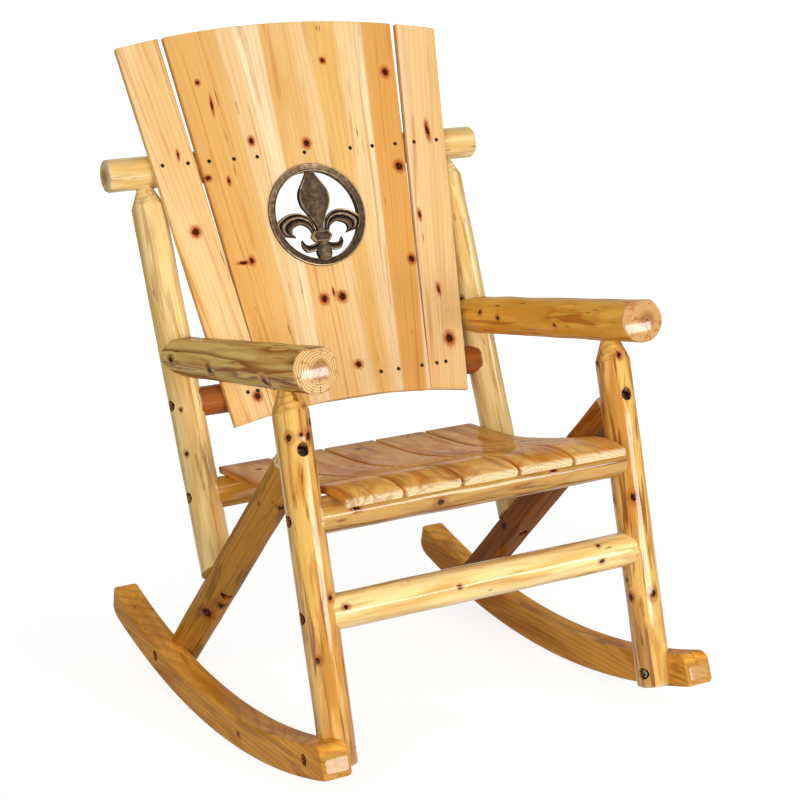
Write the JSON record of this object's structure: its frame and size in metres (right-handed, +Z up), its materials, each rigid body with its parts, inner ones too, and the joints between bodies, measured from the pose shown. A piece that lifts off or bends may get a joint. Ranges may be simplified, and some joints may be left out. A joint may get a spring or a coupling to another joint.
{
  "type": "rocking chair",
  "caption": "Log rocking armchair on two curved runners, with scooped seat slats, a fanned board back and an openwork lily medallion in the back panel's round hole.",
  "frame": {"origin": "on the floor under the middle of the chair, level with the runners' lowest facets", "axes": "+Z up, -Y to the chair's front, +X to the right of someone who looks at the chair from its front"},
  "size_m": [0.7, 0.8894, 1.1101],
  "materials": {
    "peeled_log": "peeled knotty log under glossy varnish",
    "sawn_pine": "sawn and sanded softwood under glossy varnish",
    "planed_board": "planed, edge-glued softwood under glossy varnish",
    "rubbed_bronze": "cast, dark bronze paint rubbed golden on the edges",
    "bolt_steel": "zinc plated"
  },
  "bodies": {
    "root": {"rocker_left": "sawn_pine", "rocker_right": "sawn_pine", "front_post_left": "peeled_log", "front_post_right": "peeled_log", "back_post_left": "peeled_log", "back_post_right": "peeled_log", "brace_left": "peeled_log", "brace_right": "peeled_log", "arm_left": "peeled_log", "arm_right": "peeled_log", "top_back_rail": "peeled_log", "lower_back_rail": "peeled_log", "rear_seat_rail": "peeled_log", "front_seat_rail": "peeled_log", "front_stretcher": "peeled_log", "seat_slat_1": "sawn_pine", "seat_slat_2": "sawn_pine", "seat_slat_3": "sawn_pine", "seat_slat_4": "sawn_pine", "seat_slat_5": "sawn_pine", "back_board_left": "planed_board", "back_board_right": "planed_board", "back_panel": "planed_board", "medallion": "rubbed_bronze", "front_rail_bolt_left": "bolt_steel", "front_rail_bolt_right": "bolt_steel", "stretcher_bolt_left": "bolt_steel", "stretcher_bolt_right": "bolt_steel", "rear_rail_bolt_left": "bolt_steel", "rear_rail_bolt_right": "bolt_steel", "lower_rail_bolt_left": "bolt_steel", "lower_rail_bolt_right": "bolt_steel", "arm_bolt_left": "bolt_steel", "arm_bolt_right": "bolt_steel", "brace_bolt_left": "bolt_steel", "brace_bolt_right": "bolt_steel", "foot_bolt_left": "bolt_steel", "foot_bolt_right": "bolt_steel", "rocker_front_bolt_left": "bolt_steel", "rocker_front_bolt_right": "bolt_steel", "rocker_front_nut_left": "bolt_steel", "rocker_front_nut_right": "bolt_steel", "rocker_rear_bolt_left": "bolt_steel", "rocker_rear_bolt_right": "bolt_steel", "rocker_rear_nut_left": "bolt_steel", "rocker_rear_nut_right": "bolt_steel"}
  },
  "joints": []
}
